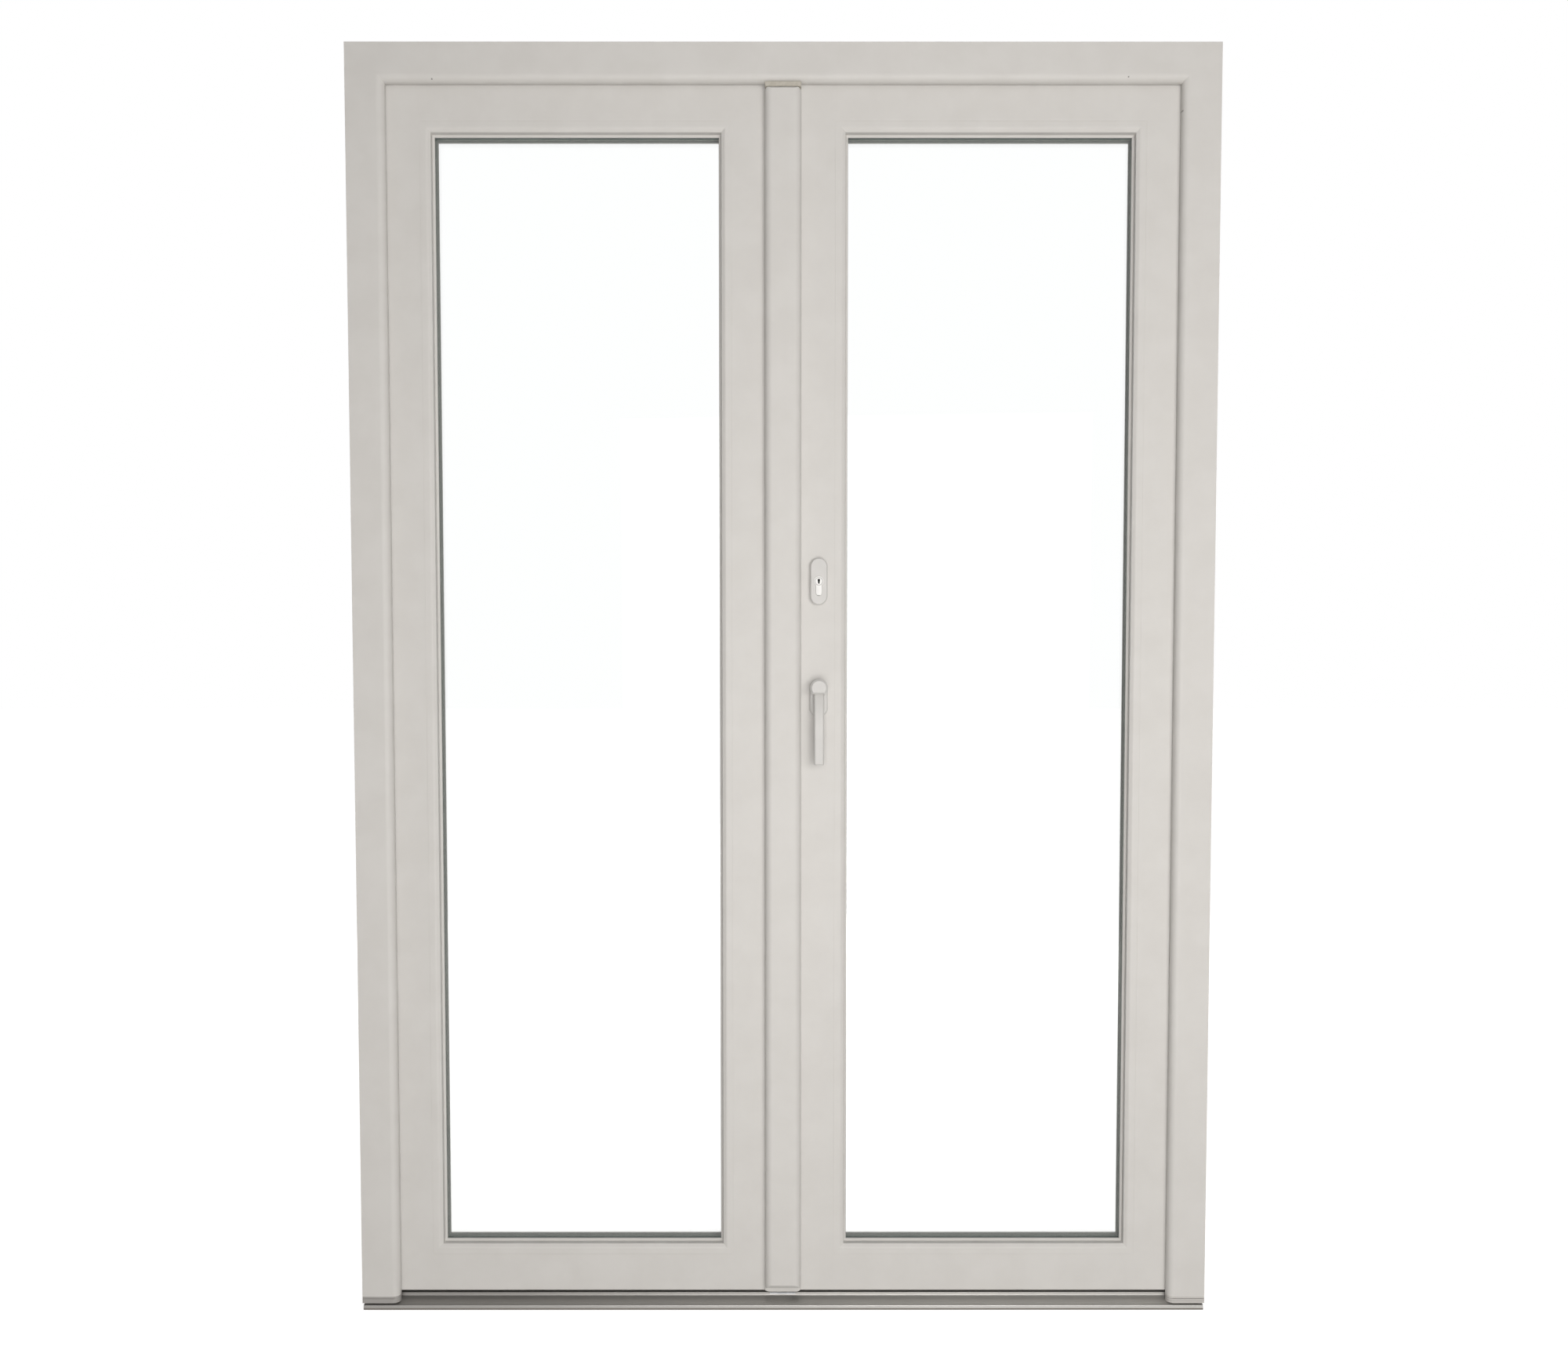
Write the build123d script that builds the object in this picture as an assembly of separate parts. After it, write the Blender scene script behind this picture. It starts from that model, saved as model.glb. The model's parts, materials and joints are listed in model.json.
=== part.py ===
from build123d import *
import os

# French doors: two glazed plastic leaves in their frame, opening outwards, on a low
# aluminium threshold. X runs to the right as seen from the room, Y runs from the room
# to the outside, Z runs up. The origin is the centre of the threshold's underside,
# halfway through the frame's depth. All sizes are in millimetres.

# Outer frame
overall_width = 1480.0
overall_height = 2180.0
frame_depth = 70.0
frame_face = 65.0
lip_height = 20.0
lip_thickness = 17.0
lip_radius = 12.5
profile_wall = 3.0
profile_web = 2.5
corner_radius = 0.8
back_channel_depth = 3.0
back_channel_width = 42.0
outer_chamber_depth = 14.0
seal_groove_width = 3.0
seal_groove_depth = 2.5
seal_from_lip_edge = 5.0
seal_lip_width = 6.0

# Leaves
sash_recess = 20.0
sash_depth = 70.0
sash_face = 87.0
side_lap = 9.0
head_lap = 6.0
leaf_underside = 27.2
meeting_edge = 23.5
outer_leg_reach = 20.0
outer_leg_thickness = 17.0
leaf_seal_width = 5.0
leaf_seal_inset = 4.5
faceplate_groove_width = 16.0
faceplate_groove_depth = 3.0
rod_groove_width = 12.0
rod_groove_depth = 6.0
hardware_line = 45.0

# Glazing
bead_width = 22.0
bead_depth = 17.0
bead_flat = 11.0
bead_slope_drop = 4.0
bead_curve = 6.0
bead_wall_foot = 13.0
bead_wall_draft = 0.4
bead_nose_width = 4.0
bead_nose_crest = 14.3
bead_nose_end = 16.3
nose_groove_width = 1.1
nose_groove_floor = 15.2
bead_seal = 3.0
glass_seal_width = 10.0
glass_seal_proud = 0.4
pane_thickness = 4.0
cavity = 16.0
spacer_inset = 8.0
spacer_height = 7.0
outer_seal = 3.0
glass_gap = 5.0
leg_bevel_width = 13.0
leg_bevel_start = 3.0
block_length = 100.0
block_from_corner = 150.0

# Steel cores
steel_wall = 2.0
steel_clearance = 0.4
steel_from_corner = 70.0

# Threshold and jamb feet
threshold_height = 21.2
threshold_end_gap = 2.0
nose_height = 8.3
nose_radius = 2.0
nose_depth = 4.0
tread_depth = 24.0
tread_back_height = 16.0
threshold_wall = 2.2
threshold_top_wall = 4.5
foot_lift = 2.2
foot_plate_thickness = 11.6
foot_reveal_height = 4.0
foot_reveal_depth = 1.2
foot_spigot_height = 12.0
brush_depth = 60.0
brush_width = 4.0
brush_fin_width = 1.6
brush_base_height = 2.0

# Meeting cover, carried by the passive leaf
cover_width = 62.0
cover_centre = -1.0
cover_corner_radius = 8.0
cover_lower_end = 26.6
cover_head_gap = 8.0
lower_cap_height = 16.5
upper_cap_height = 3.0
lower_cap_bevel = 14.0
meeting_gap = 12.0
body_head_rise = 4.0
bolt_channel = 10.0
head_pad_gap = 0.5

# Hinges
lowest_hinge = 230.0
highest_hinge_drop = 250.0
hinge_length = 100.0
barrel_radius = 10.0
pin_radius = 5.0
pin_clearance = 0.05
barrel_side_gap = 3.0
barrel_rise = 2.0
wing_thickness = 5.0
wing_corner = 4.0
frame_wing_width = 31.0
leaf_wing_width = 40.0
knuckle_gap = 1.0
pin_head_radius = 8.0
pin_head_height = 3.0
pin_head_gap = 0.3

# Handle and lock
backset = 37.5
spindle_height = 1092.5
rosette_width = 31.0
rosette_length = 66.0
rosette_thickness = 9.0
rosette_rise = 15.5
neck_radius = 9.0
neck_clearance = 0.2
hub_radius = 15.0
hub_flat = 10.5
hub_thickness = 26.0
hub_gap = 0.3
hub_softening = 3.0
lever_width = 17.0
lever_thickness = 10.0
lever_reach = 132.0
lever_start = 16.0
lever_middle = 31.0
lever_middle_drop = 60.0
lever_tip = 35.0
lever_seat = 2.0
spindle_width = 7.0
spindle_reach = 25.0
spindle_clearance = 0.1
cylinder_rise = 183.5
cylinder_overhang = 1.5
profile_radius = 8.5
profile_stem_width = 10.0
profile_total = 33.0
plug_radius = 6.5
plug_clearance = 0.05
keyway_width = 2.6
keyway_height = 8.0
keyway_depth = 23.0
keyway_round_radius = 1.9
keyway_round_rise = 2.2
cam_ring_wall = 2.0
cam_lobe_width = 7.0
cam_width = 10.0
cam_reach = 15.0
cam_clearance = 0.5
escutcheon_width = 30.0
escutcheon_length = 81.0
escutcheon_thickness = 10.0
case_thickness = 15.0
case_depth = 50.0
case_below_spindle = 57.5
case_above_cylinder = 34.0
faceplate_end_gap = 60.0
faceplate_thickness = 2.5
rod_width = 10.0
rod_thickness = 2.8
rod_travel = 18.0
rod_overrun = 40.0
cam_pin_radius = 5.0
cam_pin_reach = 8.0
cam_count = 4
lowest_cam = 480.0
highest_cam_drop = 400.0
keep_thickness = 6.5
keep_wall = 3.5
keep_end_wall = 6.0

# Bolts of the passive leaf
bolt_radius = 4.5
bolt_clearance = 0.3
bolt_length = 260.0
bolt_throw = 12.0
bolt_round_length = 25.0
bolt_proud = 1.0
bolt_tab_from_end = 30.0
bolt_tab_length = 10.0
bolt_tab_width = 7.0
bolt_tab_reach = 3.0
keep_plate_thickness = 3.0
keep_plate_width = 45.0
keep_plate_offset = 8.0
keep_plate_back = 56.0
keep_plate_drop = 0.3
top_keep_height = 10.0
top_keep_width = 30.0
keep_hole_clearance = 0.5
keep_hole_extra_depth = 1.5

# Fixings through the jambs
fixing_radius = 3.75
fixing_count = 4
fixing_from_end = 190.0
fixing_depth = 33.0


def spread(low, high, count):
    """Evenly spaced heights from the lowest to the highest."""
    step = (high - low) / (count - 1)
    return [low + index * step for index in range(count)]


# Derived places
half_width = overall_width / 2
rebate_floor = frame_face - lip_height
lip_edge = half_width - frame_face
head_lip = overall_height - frame_face
leaf_side = lip_edge + side_lap
leaf_top = head_lip + head_lap
bead_line = sash_face - bead_width
glass_inner = bead_depth + bead_seal
glass_outer = glass_inner + 2 * pane_thickness + cavity
outer_leg_start = sash_depth - outer_leg_thickness
jamb_foot = threshold_height + foot_lift
leaf_outer_face = sash_recess + sash_depth
body_face = meeting_edge - meeting_gap
cover_upper_end = head_lip - cover_head_gap
body_upper_end = head_lip + body_head_rise
cylinder_height = spindle_height + cylinder_rise
case_low = spindle_height - case_below_spindle
case_high = cylinder_height + case_above_cylinder
hinge_heights = spread(lowest_hinge, overall_height - highest_hinge_drop, 3)
cam_heights = spread(lowest_cam, overall_height - highest_cam_drop, cam_count)
fixing_heights = spread(fixing_from_end, overall_height - fixing_from_end, fixing_count)
hinge_x = leaf_side + outer_leg_reach + barrel_side_gap + barrel_radius
hinge_depth = leaf_outer_face + barrel_rise
lock_x = meeting_edge + backset
bolt_x = body_face - bolt_channel / 2
seal_line = frame_face - seal_from_lip_edge
running_gap = 0.3

leaves = {
    "left": (-leaf_side, -meeting_edge),
    "right": (meeting_edge, leaf_side),
}


def at_depth(depth):
    """World Y of a depth measured from the frame's room face."""
    return depth - frame_depth / 2


def rect(u0, u1, v0, v1):
    """A rectangle between two corners, as a flat section."""
    return Pos((u0 + u1) / 2, (v0 + v1) / 2) * Rectangle(u1 - u0, v1 - v0)


def polygon(*points):
    return make_face(Polyline(*points, close=True))


def rounded(section, corner, radius):
    """Round the section's corner that lies nearest to a point."""
    vertex = section.vertices().sort_by_distance((corner[0], corner[1], 0))[0]
    return fillet(vertex, radius)


def box_at(x0, x1, d0, d1, z0, z1):
    """A block given by its X range, its depths from the room face and its heights."""
    centre = Pos((x0 + x1) / 2, (at_depth(d0) + at_depth(d1)) / 2, (z0 + z1) / 2)
    return centre * Box(x1 - x0, d1 - d0, z1 - z0)


def rod_along_y(x, z, radius, d0, d1):
    """A round bar or hole from one depth to another."""
    middle = Pos(x, (at_depth(d0) + at_depth(d1)) / 2, z)
    return middle * Rot(90, 0, 0) * Cylinder(radius, d1 - d0)


def upright(section, z0, z1):
    """Extrude a section drawn in X and depth from one height to another."""
    plane = Plane(origin=(0, at_depth(0), z0), x_dir=(1, 0, 0), z_dir=(0, 0, 1))
    return extrude(plane * section, amount=z1 - z0)


def facing(section, d0, d1):
    """Extrude a section drawn in X and Z from one depth to another."""
    plane = Plane(origin=(0, at_depth(d1), 0), x_dir=(1, 0, 0), z_dir=(0, -1, 0))
    return extrude(plane * section, amount=d1 - d0)


def group(solids):
    return Compound(children=list(solids))


# A section is drawn with u from the profile's outer edge towards the daylight and with
# v as the depth from the profile's room face.

def side_planes(x0, x1, z0, z1, depth):
    """Planes in which a ring's four sides start, with u pointing to the daylight."""
    y = at_depth(depth)
    return {
        "left": (Plane((x0, y, z0), (1, 0, 0), (0, 0, 1)), z1 - z0),
        "right": (Plane((x1, y, z1), (-1, 0, 0), (0, 0, -1)), z1 - z0),
        "top": (Plane((x0, y, z1), (0, 0, -1), (1, 0, 0)), x1 - x0),
        "bottom": (Plane((x1, y, z0), (0, 0, 1), (-1, 0, 0)), x1 - x0),
    }


def mitred_bar(section, plane, length):
    """One side of a ring, cut at 45 degrees at both ends."""
    box = section.bounding_box()
    low = min(box.min.X, 0.0) - 1.0
    high = box.max.X + 1.0
    bar = Pos(0, 0, low) * extrude(section, amount=length - 2 * low)
    cut = polygon((low, low), (high, high), (high, length - high), (low, length - low))
    cutter_plane = Plane(origin=(0, box.max.Y + 1.0, 0), x_dir=(1, 0, 0), z_dir=(0, -1, 0))
    cutter = extrude(cutter_plane * cut, amount=box.max.Y - box.min.Y + 2.0)
    return plane * (bar & cutter)


def ring_sides(section, x0, x1, z0, z1, depth):
    planes = side_planes(x0, x1, z0, z1, depth)
    return {side: mitred_bar(section, *planes[side]) for side in planes}


def ring(section, x0, x1, z0, z1, depth):
    """A closed ring of one section with mitred corners."""
    sides = list(ring_sides(section, x0, x1, z0, z1, depth).values())
    return sides[0] + sides[1] + sides[2] + sides[3]


def frame_sweep(section):
    """Carry a section up one jamb, along the head and down the other jamb."""
    y = at_depth(0)
    path = Polyline(
        (-half_width, y, jamb_foot),
        (-half_width, y, overall_height),
        (half_width, y, overall_height),
        (half_width, y, jamb_foot),
    )
    plane = Plane(origin=(-half_width, y, jamb_foot), x_dir=(1, 0, 0), z_dir=(0, 0, 1))
    return sweep(plane * section, path=path, transition=Transition.RIGHT)


# Outer frame

room_chamber_end = lip_thickness - seal_groove_depth - profile_wall
steel_chamber_start = room_chamber_end + profile_web
steel_chamber_end = frame_depth - profile_wall - outer_chamber_depth
frame_steel_u = (back_channel_depth + profile_wall, rebate_floor - profile_wall)


def frame_outline():
    section = polygon(
        (0, 0),
        (frame_face, 0),
        (frame_face, lip_thickness),
        (rebate_floor, lip_thickness),
        (rebate_floor, frame_depth),
        (0, frame_depth),
    )
    section = rounded(section, (frame_face, 0), lip_radius)
    for corner in ((0, 0), (frame_face, lip_thickness), (rebate_floor, frame_depth)):
        section = rounded(section, corner, corner_radius)
    middle = frame_depth / 2
    half_channel = back_channel_width / 2
    channel = rect(0, back_channel_depth, middle - half_channel, middle + half_channel)
    return section - channel


def frame_section():
    section = frame_outline()
    groove_start = lip_thickness - seal_groove_depth
    half_groove = seal_groove_width / 2
    section -= rect(seal_line - half_groove, seal_line + half_groove, groove_start, lip_thickness)
    room_chamber = rect(profile_wall, frame_face - profile_wall, profile_wall, room_chamber_end)
    chamber_corner = (frame_face - profile_wall, profile_wall)
    section -= rounded(room_chamber, chamber_corner, room_chamber_end - profile_wall - 0.5)
    section -= rect(*frame_steel_u, steel_chamber_start, steel_chamber_end)
    outer_start = steel_chamber_end + profile_web
    section -= rect(profile_wall, frame_steel_u[1], outer_start, frame_depth - profile_wall)
    return section


def channel_steel(u0, u1, v0, v1):
    """A galvanised channel that fills a chamber, open towards the daylight."""
    u0, u1 = u0 + steel_clearance, u1 - steel_clearance
    v0, v1 = v0 + steel_clearance, v1 - steel_clearance
    return rect(u0, u1, v0, v1) - rect(u0 + steel_wall, u1, v0 + steel_wall, v1 - steel_wall)


def fixing_holes():
    """Holes for the frame screws, four through each jamb."""
    holes = []
    for side in (-1, 1):
        x = side * (half_width - rebate_floor / 2)
        for z in fixing_heights:
            place = Pos(x, at_depth(fixing_depth), z) * Rot(0, 90, 0)
            holes.append(place * Cylinder(fixing_radius, rebate_floor + 2.0))
    return holes


def outer_frame():
    return frame_sweep(frame_section()) - fixing_holes()


def frame_steels():
    section = channel_steel(*frame_steel_u, steel_chamber_start, steel_chamber_end)
    planes = side_planes(-half_width, half_width, jamb_foot, overall_height, 0)
    bars = []
    for side in ("left", "right", "top"):
        plane, length = planes[side]
        low = steel_from_corner
        high = length - steel_from_corner
        if side == "left":
            low = foot_spigot_height + steel_from_corner / 4
        if side == "right":
            high = length - foot_spigot_height - steel_from_corner / 4
        bar = Pos(0, 0, low) * extrude(section, amount=high - low)
        bars.append(plane * bar - fixing_holes())
    return group(bars)


def frame_gasket():
    half_groove = seal_groove_width / 2
    stem = rect(
        seal_line - half_groove,
        seal_line + half_groove,
        lip_thickness - seal_groove_depth,
        lip_thickness,
    )
    lip_end = seal_line + seal_from_lip_edge - seal_groove_width / 2
    lip = rect(lip_end - seal_lip_width, lip_end, lip_thickness, sash_recess - running_gap)
    return frame_sweep(stem + lip)


# Threshold and the jamb feet that stand on it

def threshold_outline():
    section = polygon(
        (0, 0),
        (0, nose_height),
        (nose_depth, nose_height),
        (tread_depth, tread_back_height),
        (tread_depth, threshold_height),
        (frame_depth, threshold_height),
        (frame_depth, 0),
    )
    section = rounded(section, (0, nose_height), nose_radius)
    section = rounded(section, (tread_depth, tread_back_height), 1.5)
    section = rounded(section, (tread_depth, threshold_height), 1.0)
    return rounded(section, (frame_depth, threshold_height), 1.0)


def along_x(section, x0, x1):
    """Extrude a section drawn in depth and height along X."""
    plane = Plane(origin=(x0, at_depth(0), 0), x_dir=(0, 1, 0), z_dir=(1, 0, 0))
    return extrude(plane * section, amount=x1 - x0)


def keep_plate_range():
    x0 = bolt_x - keep_plate_width / 2 - keep_plate_offset
    return x0, x0 + keep_plate_width


def threshold():
    section = threshold_outline()
    ceiling = threshold_height - threshold_top_wall
    middle = (tread_depth + frame_depth) / 2
    wall = threshold_wall
    section -= rect(wall, tread_depth - wall, wall, nose_height - wall)
    section -= rect(tread_depth + wall, middle - wall / 2, wall, ceiling)
    section -= rect(middle + wall / 2, frame_depth - wall, wall, ceiling)
    half_length = half_width - threshold_end_gap
    solid = along_x(section, -half_length, half_length)
    x0, x1 = keep_plate_range()
    pocket_floor = threshold_height - keep_plate_drop - keep_plate_thickness
    solid -= box_at(x0, x1, tread_depth - 1.0, keep_plate_back, pocket_floor, threshold_height + 1)
    hole = Pos(bolt_x, at_depth(hardware_line), ceiling) * Cylinder(bolt_radius + 1.0, 12.0)
    return solid - hole


def threshold_seal():
    """Brush seal between the threshold's top and the leaves' undersides."""
    half_length = lip_edge - running_gap
    base = rect(brush_depth - brush_width / 2, brush_depth + brush_width / 2,
                threshold_height, threshold_height + brush_base_height)
    fin = rect(brush_depth - brush_fin_width / 2, brush_depth + brush_fin_width / 2,
               threshold_height + brush_base_height, leaf_underside - running_gap)
    return along_x(base + fin, -half_length, half_length)


def foot_connector(side):
    """Plastic shoe between a jamb's foot and the threshold, with a spigot in the jamb."""
    plane = Plane(origin=(-half_width, at_depth(0), 0), x_dir=(1, 0, 0), z_dir=(0, 0, 1))
    low = jamb_foot - foot_plate_thickness
    shoe = plane * Pos(0, 0, low) * extrude(frame_outline(), amount=foot_plate_thickness)
    shoe -= along_x(threshold_outline(), -half_width - 1.0, half_width)
    shoe -= box_at(-half_width - 1.0, half_width, -1.0, foot_reveal_depth,
                   jamb_foot - foot_reveal_height, jamb_foot)
    u0, u1 = frame_steel_u
    spigot = rect(u0 + 1.0, u1 - 1.0, steel_chamber_start + 1.0, steel_chamber_end - 1.0)
    shoe += plane * Pos(0, 0, jamb_foot) * extrude(spigot, amount=foot_spigot_height)
    return shoe if side == "left" else mirror(shoe, about=Plane.YZ)


# Leaves

sash_steel_u = (13.0, 50.0)
sash_steel_v = (10.5, 43.0)
groove_v = hardware_line - sash_recess
sash_seal_line = -outer_leg_reach + leaf_seal_inset


def sash_outline():
    section = polygon(
        (0, 0),
        (bead_line, 0),
        (bead_line, outer_seal + glass_outer),
        (sash_face, outer_seal + glass_outer),
        (sash_face, outer_seal + glass_outer + leg_bevel_start),
        (sash_face - leg_bevel_width, sash_depth),
        (-outer_leg_reach, sash_depth),
        (-outer_leg_reach, outer_leg_start),
        (0, outer_leg_start),
    )
    for corner in (
        (0, 0),
        (sash_face - leg_bevel_width, sash_depth),
        (-outer_leg_reach, sash_depth),
        (-outer_leg_reach, outer_leg_start),
    ):
        section = rounded(section, corner, corner_radius)
    half_plate = faceplate_groove_width / 2
    half_rod = rod_groove_width / 2
    groove_end = faceplate_groove_depth + rod_groove_depth
    section -= rect(0, faceplate_groove_depth, groove_v - half_plate, groove_v + half_plate)
    section -= rect(0, groove_end, groove_v - half_rod, groove_v + half_rod)
    return section


def sash_section():
    wall = profile_wall
    section = sash_outline()
    half_plate = faceplate_groove_width / 2
    room_end = sash_steel_v[0] - profile_web
    section -= rect(wall, bead_line - 2 * wall, wall, room_end)
    section -= rect(*sash_steel_u, *sash_steel_v)
    section -= rect(wall, sash_steel_u[0] - wall, sash_steel_v[0], groove_v - half_plate - wall)
    section -= rect(wall, sash_steel_u[0] - wall, groove_v + half_plate + wall, outer_leg_start - wall)
    section -= rect(sash_steel_u[1] + profile_web, bead_line - wall, sash_steel_v[0], sash_steel_v[1])
    leg_floor = sash_steel_v[1] + profile_web
    section -= rect(sash_steel_u[0], bead_line - wall, leg_floor, outer_leg_start)
    section -= rect(wall - outer_leg_reach, sash_face - leg_bevel_width - wall,
                    outer_leg_start + wall, sash_depth - wall)
    return section


def leaf_ring(section, side):
    x0, x1 = leaves[side]
    return ring(section, x0, x1, leaf_underside, leaf_top, sash_recess)


def profile_hole(margin, d0, d1):
    """The keyhole-shaped passage of the lock cylinder, larger all round by a margin."""
    stem_low = cylinder_height + profile_radius - profile_total
    stem_half = profile_stem_width / 2
    shape = Pos(lock_x, cylinder_height) * Circle(profile_radius + margin)
    foot = Pos(lock_x, stem_low + stem_half) * Circle(stem_half + margin)
    stem = rect(lock_x - stem_half - margin, lock_x + stem_half + margin,
                stem_low + stem_half, cylinder_height)
    return facing(shape + foot + stem, d0, d1)


def lock_case_block(margin):
    half = case_thickness / 2 + margin
    start = meeting_edge + faceplate_groove_depth + rod_groove_depth
    return box_at(start - margin, start + case_depth + margin, hardware_line - half,
                  hardware_line + half, case_low - margin, case_high + margin)


def lock_cutouts():
    """What is milled out of the active leaf's meeting stile for its lock and handle."""
    cylinder = profile_hole(1.0, sash_recess - 1.0, leaf_outer_face + 1.0)
    spindle = rod_along_y(lock_x, spindle_height, spindle_width, sash_recess - 1.0, hardware_line)
    return [lock_case_block(0.5), cylinder, spindle]


def sash(side):
    body = leaf_ring(sash_section(), side)
    return body - lock_cutouts() if side == "right" else body


def sash_steels(side):
    section = channel_steel(*sash_steel_u, *sash_steel_v)
    x0, x1 = leaves[side]
    planes = side_planes(x0, x1, leaf_underside, leaf_top, sash_recess)
    bars = []
    for plane, length in planes.values():
        bar = extrude(section, amount=length - 2 * steel_from_corner)
        bar = plane * Pos(0, 0, steel_from_corner) * bar
        bars.append(bar - lock_cutouts() if side == "right" else bar)
    return group(bars)


def bead_section():
    """A glazing bead: flat, a gentle slope, a wall down to a groove and a nose at the glass."""
    slope_start = bead_line + bead_flat
    wall = sash_face - bead_nose_width
    crest = wall + nose_groove_width
    section = polygon(
        (bead_line, 0),
        (slope_start, 0),
        (wall - bead_wall_draft, bead_slope_drop),
        (wall, bead_wall_foot),
        (wall, nose_groove_floor),
        (crest, nose_groove_floor),
        (crest, bead_nose_crest),
        (sash_face, bead_nose_end),
        (sash_face, bead_depth),
        (bead_line, bead_depth),
    )
    section = rounded(section, (slope_start, 0), bead_curve)
    section = rounded(section, (wall - bead_wall_draft, bead_slope_drop), bead_curve / 4)
    return rounded(section, (bead_line, 0), corner_radius / 3)


def beads(side):
    x0, x1 = leaves[side]
    return ring_sides(bead_section(), x0, x1, leaf_underside, leaf_top, sash_recess)


def glass_seals(side):
    """Inner seal under the beads and outer seal against the outer leg."""
    edge = sash_face + glass_seal_proud
    start = edge - glass_seal_width
    inner = rect(start, edge, bead_depth, glass_inner)
    outer = rect(start, edge, glass_outer, glass_outer + outer_seal)
    return group([leaf_ring(inner, side), leaf_ring(outer, side)])


def glass_edges(side):
    x0, x1 = leaves[side]
    inset = bead_line + glass_gap
    return x0 + inset, x1 - inset, leaf_underside + inset, leaf_top - inset


def pane(side, start):
    x0, x1, z0, z1 = glass_edges(side)
    depth = sash_recess + start
    return box_at(x0, x1, depth, depth + pane_thickness, z0, z1)


def spacer(side):
    inset = bead_line + glass_gap + spacer_inset
    start = glass_inner + pane_thickness
    return leaf_ring(rect(inset, inset + spacer_height, start, start + cavity), side)


def glazing_blocks(side):
    """Packers that carry the glass unit in the rebate, two to each side."""
    section = rect(bead_line, bead_line + glass_gap, glass_inner, glass_outer)
    x0, x1 = leaves[side]
    planes = side_planes(x0, x1, leaf_underside, leaf_top, sash_recess)
    blocks = []
    for plane, length in planes.values():
        for start in (block_from_corner, length - block_from_corner - block_length):
            blocks.append(plane * Pos(0, 0, start) * extrude(section, amount=block_length))
    return group(blocks)


def sash_gasket(side):
    """Seal in the outer leg that closes on the frame's outer face."""
    height = outer_leg_start - (frame_depth - sash_recess)
    half = leaf_seal_width / 2
    section = rect(sash_seal_line - half, sash_seal_line + half,
                   outer_leg_start - height + running_gap, outer_leg_start)
    return leaf_ring(section, side)


# Meeting cover with its end caps

cover_left = cover_centre - cover_width / 2
cover_right = cover_centre + cover_width / 2
body_left = -meeting_edge


def cover_blank():
    section = rect(cover_left, cover_right, 0, lip_thickness)
    for x in (cover_left, cover_right):
        section = rounded(section, (x, 0), lip_radius)
    solid = upright(section, cover_lower_end, cover_upper_end)
    front = rect(cover_left, cover_right, cover_lower_end, cover_upper_end)
    front = fillet(front.vertices(), cover_corner_radius)
    return solid & facing(front, 0, lip_thickness)


def meeting_body(z0, z1, hollow):
    half = bolt_channel / 2
    section = rect(body_left, body_face, lip_thickness, frame_depth)
    section += rect(cover_left, body_left, lip_thickness, sash_recess)
    section -= rect(body_face - bolt_channel, body_face, hardware_line - half, hardware_line + half)
    if hollow:
        wall = profile_wall
        section -= rect(body_left + wall, body_face - bolt_channel - wall,
                        sash_recess + wall, frame_depth - wall)
    return upright(section, z0, z1)


def cover_parts():
    """The long profile and its two plastic end caps, cut from one shape."""
    low_cut = cover_lower_end + lower_cap_height
    high_cut = cover_upper_end - upper_cap_height
    blank = cover_blank()
    profile = blank & box_at(cover_left, cover_right, 0, lip_thickness, low_cut, high_cut)
    wall = profile_wall
    profile -= box_at(cover_left + 2 * wall, cover_right - 2 * wall, wall + 1.0,
                      lip_thickness - wall, low_cut, high_cut)
    profile += meeting_body(low_cut, high_cut, True)

    lower = blank & box_at(cover_left, cover_right, 0, lip_thickness, cover_lower_end, low_cut)
    bevel = polygon((-1, cover_lower_end - 1), (lower_cap_bevel, cover_lower_end - 1),
                    (lower_cap_bevel, cover_lower_end), (0, low_cut), (-1, low_cut))
    lower -= along_x(bevel, cover_left - 1, cover_right + 1)
    lower += meeting_body(leaf_underside, low_cut, False)

    upper = blank & box_at(cover_left, cover_right, 0, lip_thickness, high_cut, cover_upper_end)
    chamfer_size = upper_cap_height
    slope = polygon((-1, high_cut), (0, high_cut), (chamfer_size, cover_upper_end),
                    (chamfer_size, cover_upper_end + 1), (-1, cover_upper_end + 1))
    upper -= along_x(slope, cover_left - 1, cover_right + 1)
    upper += meeting_body(high_cut, body_upper_end, False)
    upper -= box_at(cover_left - 1, cover_right, lip_thickness, sash_recess,
                    cover_upper_end, body_upper_end + 1)
    return profile, upper, lower


def cover_gasket():
    """Seal on the cover's back, against the active leaf's room face."""
    section = rect(meeting_edge + 0.5, cover_right - 1.0, lip_thickness, sash_recess - running_gap)
    low = cover_lower_end + lower_cap_height
    return upright(section, low, cover_upper_end - upper_cap_height)


def head_pad():
    """Soft block that closes the gap between the cover's top end and the head."""
    low = cover_upper_end + head_pad_gap
    return box_at(cover_left + 1.0, cover_right, 1.5, lip_thickness - 1.0, low, head_lip)


# Hinges

def hinge_planes(side):
    sign = -1 if side == "left" else 1
    return sign, sign * hinge_x


def x_range(sign, inner, outer):
    return (inner, outer) if sign > 0 else (-outer, -inner)


def barrel(side, z0, z1, radius):
    _, x = hinge_planes(side)
    place = Pos(x, at_depth(hinge_depth), (z0 + z1) / 2)
    return place * Cylinder(radius, z1 - z0)


def softened(solid, size):
    """Take the corners off a wing."""
    edges = solid.edges().filter_by(Axis.Y)
    return chamfer(edges, size)


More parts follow.
